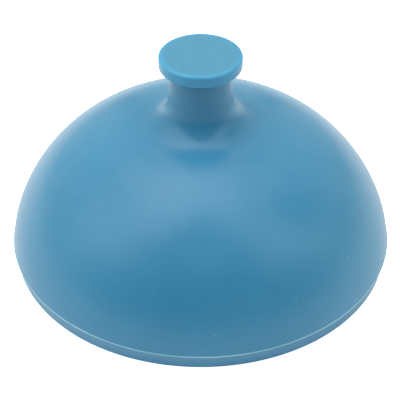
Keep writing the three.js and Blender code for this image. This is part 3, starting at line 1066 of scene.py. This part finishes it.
# %% Wind the spring
WIRE_RADIUS = 0.2
SPRING_TURNS = 3.5
SPRING_STEPS = 252

spring_low, spring_high = low_z("poppet_spring"), high_z("poppet_spring")
coil_radius = reach("poppet_spring") - WIRE_RADIUS
climb = (spring_high - spring_low - 2 * WIRE_RADIUS) / SPRING_STEPS
spring_shape = bmesh.new()
start = Matrix.Translation((coil_radius * MM, 0.0, (spring_low + WIRE_RADIUS) * MM))
upright = Matrix.Rotation(math.pi / 2, 4, "X")
bmesh.ops.create_circle(
    spring_shape, cap_ends=True, radius=WIRE_RADIUS * MM, segments=12, matrix=start @ upright
)
end_face = spring_shape.faces[:]
bmesh.ops.spin(
    spring_shape,
    geom=end_face,
    cent=(0.0, 0.0, 0.0),
    axis=(0.0, 0.0, 1.0),
    dvec=(0.0, 0.0, climb * MM),
    angle=SPRING_TURNS * 2 * math.pi,
    steps=SPRING_STEPS,
    use_merge=False,
    use_duplicate=False,
)
bmesh.ops.remove_doubles(spring_shape, verts=spring_shape.verts, dist=1e-7)
spring = finish_piece(
    "spring", spring_shape, wire_steel, "poppet_spring", "base"
)
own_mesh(spring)

# %% [markdown]
# ## The pipette socket
#
# The collar is the part that is gripped and turned from below. It is turned
# like the rest, then its flange gets finger scallops: every point of the rim
# that falls inside a scallop's circle is pulled in to that circle. Its two lugs
# are grown out of the wall by extruding the faces between two heights.

# %% Turn the collar
COLLAR_STEPS = 240
COLLAR_WALL = 7.8
COLLAR_BORE = 5.6
LIP_BORE = 4.9
LIP_HEIGHT = 0.9
FLANGE_RADIUS = 12.5
FLANGE_HEIGHT = 1.8
FLANGE_EDGE = 0.3
LUG_LOW, LUG_HIGH = 6.6, 8.2
LUG_HALF_ANGLE = 12.0
LUG_REACH = 1.0

collar_low, collar_high = low_z("adapter_collar"), high_z("adapter_collar")
collar_outline = [(LIP_BORE, collar_low), (FLANGE_RADIUS - FLANGE_EDGE, collar_low)]
flange_top = collar_low + FLANGE_HEIGHT
collar_outline += [(FLANGE_RADIUS, collar_low + FLANGE_EDGE), (FLANGE_RADIUS, flange_top - FLANGE_EDGE)]
collar_outline += [(FLANGE_RADIUS - FLANGE_EDGE, flange_top), (COLLAR_WALL, flange_top)]
collar_outline += [(COLLAR_WALL, LUG_LOW), (COLLAR_WALL, LUG_HIGH), (COLLAR_WALL, collar_high)]
collar_outline += [(COLLAR_BORE, collar_high), (COLLAR_BORE, collar_low + LIP_HEIGHT)]
collar_outline += [(LIP_BORE, collar_low + LIP_HEIGHT)]
collar_shape = spin_outline(collar_outline, ring=True, steps=COLLAR_STEPS)
print("collar:", len(collar_shape.faces), "faces")

# %% Grow the two lugs
def on_lug(face):
    """Whether a face lies on the outer wall, where one of the two lugs grows."""
    middle = face.calc_center_median() / MM
    turn = math.degrees(math.atan2(middle.y, middle.x))
    beside = min(abs(turn), 180 - abs(turn)) < LUG_HALF_ANGLE
    outer_wall = math.hypot(middle.x, middle.y) > COLLAR_WALL - 0.1
    return beside and outer_wall and LUG_LOW < middle.z < LUG_HIGH


lug_faces = [face for face in collar_shape.faces if on_lug(face)]
grown = bmesh.ops.extrude_face_region(collar_shape, geom=lug_faces)
for corner in [item for item in grown["geom"] if isinstance(item, bmesh.types.BMVert)]:
    across = math.hypot(corner.co.x, corner.co.y)
    corner.co.x *= (across + LUG_REACH * MM) / across
    corner.co.y *= (across + LUG_REACH * MM) / across
bmesh.ops.delete(collar_shape, geom=lug_faces, context="FACES_KEEP_BOUNDARY")
print("lug faces:", len(lug_faces))

# %% Pull in the scallops
SCALLOPS = 12
SCALLOP_RADIUS = 1.6
SCALLOP_CIRCLE = FLANGE_RADIUS + 0.9

for corner in collar_shape.verts:
    across = math.hypot(corner.co.x, corner.co.y) / MM
    if across < FLANGE_RADIUS - 1.0 or corner.co.z / MM > collar_low + FLANGE_HEIGHT + 0.01:
        continue
    step = 2 * math.pi / SCALLOPS
    turn = math.atan2(corner.co.y, corner.co.x)
    off = abs(turn - step * round(turn / step))
    aside = SCALLOP_CIRCLE * math.sin(off)
    if aside < SCALLOP_RADIUS:
        edge = SCALLOP_CIRCLE * math.cos(off) - math.sqrt(SCALLOP_RADIUS**2 - aside**2)
        wanted = min(across, edge - (FLANGE_RADIUS - across))
        corner.co.x *= wanted / across
        corner.co.y *= wanted / across
soften(collar_shape, 0.1, angle=50.0)
collar = finish_piece(
    "collar", collar_shape, grey_plastic, "adapter_collar", "collar"
)

# %% [markdown]
# Inside the collar is a soft sleeve of natural silicone with a tapered bore and
# three ribs, so that mouthpieces of different sizes all seal. The ribs are
# rounded, because a sharp rib would tear.

# %% The ribbed grip
GRIP_MOUTH = 4.6
GRIP_THROAT = 3.6
GRIP_STOP = 8.6
GRIP_STOP_BORE = 2.4
RIB_HEIGHTS = (7.4, 5.6, 3.8)
RIB_HALF_WIDTH = 0.5
RIB_REACH = 0.25

grip_low, grip_high, grip_out = low_z("pipette_grip"), high_z("pipette_grip"), reach("pipette_grip")
sleeve_out = COLLAR_BORE - SEAT_GAP
flange_low = collar_high + SEAT_GAP


def bore_at(z):
    """Radius of the plain tapered bore at a height."""
    share = (z - grip_low) / (GRIP_STOP - grip_low)
    return GRIP_MOUTH + (GRIP_THROAT - GRIP_MOUTH) * share


grip_outline = [(GRIP_MOUTH, grip_low), (sleeve_out, grip_low), (sleeve_out, flange_low)]
grip_outline += [(grip_out, flange_low), (grip_out, grip_high), (GRIP_STOP_BORE, grip_high)]
grip_outline += [(GRIP_STOP_BORE, GRIP_STOP), (GRIP_THROAT, GRIP_STOP)]
for middle_z in RIB_HEIGHTS:
    for i in range(-4, 5):
        z = middle_z - RIB_HALF_WIDTH * i / 4
        bulge = RIB_REACH * 0.5 * (1 + math.cos(math.pi * i / 4))
        grip_outline.append((bore_at(z) - bulge, z))
grip = turned_ring(
    "grip", "pipette_grip", "collar", grip_outline, clear_silicone, 0.12
)

# %% [markdown]
# ## The exhaust valve
#
# A red umbrella of silicone at the back of the plate: a thin round skirt under
# the ports, and a bead above the plate that holds it. It is turned round the
# main axis like everything else and then moved to its place in the mesh, so
# that the object itself stays at the origin.

# %% The umbrella
valve_low, valve_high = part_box("exhaust_valve")
valve_middle = (valve_low + valve_high) / 2
UMBRELLA_STEM = 1.3
BEAD_RADIUS = 2.1

skirt_edge = plate_low - SEAT_GAP
bead_low = PLATE_TOP + 0.8
umbrella_outline = [(0.0, 1.6), (1.4, 1.63), (2.6, 1.7), (3.5, 1.88), (4.2, 2.1), (4.65, 2.33)]
umbrella_outline += [(4.9, 2.6), (4.9, skirt_edge), (4.5, skirt_edge), (4.0, 2.68), (3.4, 2.5)]
umbrella_outline += [(UMBRELLA_STEM, 2.35), (UMBRELLA_STEM, bead_low), (BEAD_RADIUS, bead_low)]
umbrella_outline += [(BEAD_RADIUS, bead_low + 0.3), (1.7, bead_low + 0.9), (1.0, bead_low + 1.4)]
umbrella_outline += [(0.5, bead_low + 1.5), (0.0, bead_low + 1.5)]
umbrella_shape = spin_outline(umbrella_outline, ring=False, steps=128)
bmesh.ops.translate(
    umbrella_shape, vec=(valve_middle.x, valve_middle.y, 0.0), verts=umbrella_shape.verts
)
umbrella = finish_piece(
    "umbrella", umbrella_shape, red_silicone, "exhaust_valve", "exhaust"
)

# %% [markdown]
# ## Finish
#
# The visual model has to stay inside the imported model's box.

# %% Finish
bpy.context.view_layer.update()
